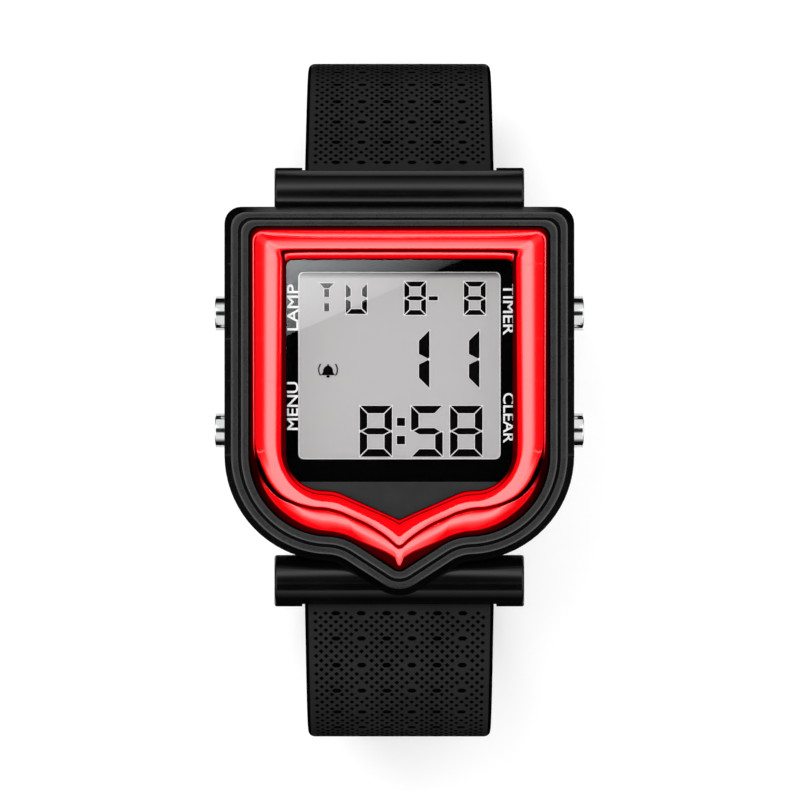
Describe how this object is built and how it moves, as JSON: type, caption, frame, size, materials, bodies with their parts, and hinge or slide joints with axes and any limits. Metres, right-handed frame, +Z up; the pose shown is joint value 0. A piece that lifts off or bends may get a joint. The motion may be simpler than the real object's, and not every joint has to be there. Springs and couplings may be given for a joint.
{
  "type": "digital sports wristwatch",
  "caption": "Digital sports wristwatch with a shield-shaped case, a raised red dial frame, side push buttons and a rubber strap that ends in a buckle.",
  "frame": {"origin": "on the table under the middle of the watch, which stands dial up on its strap", "axes": "+Z up out of the dial, +Y towards 12 o'clock, +X towards 3 o'clock"},
  "size_m": [0.0444, 0.0811, 0.0656],
  "materials": {
    "case_plastic": "moulded satin black",
    "ring_plastic": "satin dark grey with bright edges",
    "frame_plastic": "clear-lacquered red",
    "crystal_glass": "polished mineral glass",
    "seal_rubber": "matt",
    "mask_print": "black print behind glass",
    "chin_plastic": "fine matt",
    "display_cell": "reflective grey liquid crystal cell",
    "numeral_black": "dark display segments",
    "holder_white": "moulded white",
    "light_film": "light panel",
    "connector_rubber": "striped conductive rubber",
    "board_green": "solder-masked board",
    "chip_resin": "resin cap",
    "part_steel": "plain steel",
    "module_plastic": "moulded grey",
    "contact_brass": "plated",
    "back_steel": "circular brushed",
    "button_chrome": "polished",
    "strap_rubber": "matt with a moulded dot grain",
    "buckle_steel": "brushed with bright edges"
  },
  "bodies": {
    "case": {"case_body": "case_plastic", "outer_ring": "ring_plastic", "inner_ring": "ring_plastic", "dial_frame": "frame_plastic", "crystal": "crystal_glass", "crystal_gasket": "seal_rubber", "display_mask": "mask_print", "chin_plate": "chin_plastic", "lcd_panel": "display_cell", "lcd_numerals": "numeral_black", "lcd_holder": "holder_white", "light_panel": "light_film", "connector_strips": "connector_rubber", "circuit_board": "board_green", "control_chip": "chip_resin", "quartz_can": "part_steel", "module_frame": "module_plastic", "button_contacts": "contact_brass", "battery": "part_steel", "battery_clip": "part_steel", "buzzer": "contact_brass", "back_gasket": "seal_rubber", "case_back": "back_steel", "case_back_screws": "part_steel", "pin_upper": "part_steel", "pin_lower": "part_steel", "spring_upper_left": "part_steel", "seal_upper_left": "seal_rubber", "spring_lower_left": "part_steel", "seal_lower_left": "seal_rubber", "spring_upper_right": "part_steel", "seal_upper_right": "seal_rubber", "spring_lower_right": "part_steel", "seal_lower_right": "seal_rubber"},
    "button_upper_left": {"button_upper_left": "button_chrome", "clip_upper_left": "part_steel"},
    "button_lower_left": {"button_lower_left": "button_chrome", "clip_lower_left": "part_steel"},
    "button_upper_right": {"button_upper_right": "button_chrome", "clip_upper_right": "part_steel"},
    "button_lower_right": {"button_lower_right": "button_chrome", "clip_lower_right": "part_steel"},
    "strap_upper": {"strap_upper": "strap_rubber"},
    "strap_lower": {"strap_lower": "strap_rubber"},
    "keeper": {"keeper": "strap_rubber"},
    "buckle_frame": {"buckle_frame": "buckle_steel", "buckle_bar": "part_steel"},
    "buckle_tongue": {"buckle_tongue": "buckle_steel"}
  },
  "joints": [
    {"name": "press_upper_left", "type": "slide", "parent": "case", "child": "button_upper_left", "axis": [1, 0, 0], "range_m": [0, 0.0007], "stiffness_N_per_m": 1500, "springref_m": -0.0005, "deforming": ["spring_upper_left"]},
    {"name": "press_lower_left", "type": "slide", "parent": "case", "child": "button_lower_left", "axis": [1, 0, 0], "range_m": [0, 0.0007], "stiffness_N_per_m": 1500, "springref_m": -0.0005, "deforming": ["spring_lower_left"]},
    {"name": "press_upper_right", "type": "slide", "parent": "case", "child": "button_upper_right", "axis": [-1, 0, 0], "range_m": [0, 0.0007], "stiffness_N_per_m": 1500, "springref_m": -0.0005, "deforming": ["spring_upper_right"]},
    {"name": "press_lower_right", "type": "slide", "parent": "case", "child": "button_lower_right", "axis": [-1, 0, 0], "range_m": [0, 0.0007], "stiffness_N_per_m": 1500, "springref_m": -0.0005, "deforming": ["spring_lower_right"]},
    {"name": "strap_upper_hinge", "type": "hinge", "parent": "case", "child": "strap_upper", "pos_m": [0, 0.0248, 0.058], "axis": [1, 0, 0], "range_deg": [0, 40]},
    {"name": "strap_lower_hinge", "type": "hinge", "parent": "case", "child": "strap_lower", "pos_m": [0, -0.0217, 0.058], "axis": [-1, 0, 0], "range_deg": [0, 10]},
    {"name": "keeper_slide", "type": "slide", "parent": "strap_upper", "child": "keeper", "axis": [0, 1, 0], "range_m": [-0.0012, 0.0012]},
    {"name": "buckle_hinge", "type": "hinge", "parent": "strap_upper", "child": "buckle_frame", "pos_m": [0, 0.01331, 0.0025], "axis": [-1, 0, 0], "range_deg": [-20, 35]},
    {"name": "tongue_hinge", "type": "hinge", "parent": "buckle_frame", "child": "buckle_tongue", "pos_m": [0, 0.01331, 0.0025], "axis": [-1, 0, 0], "range_deg": [0, 70]}
  ]
}
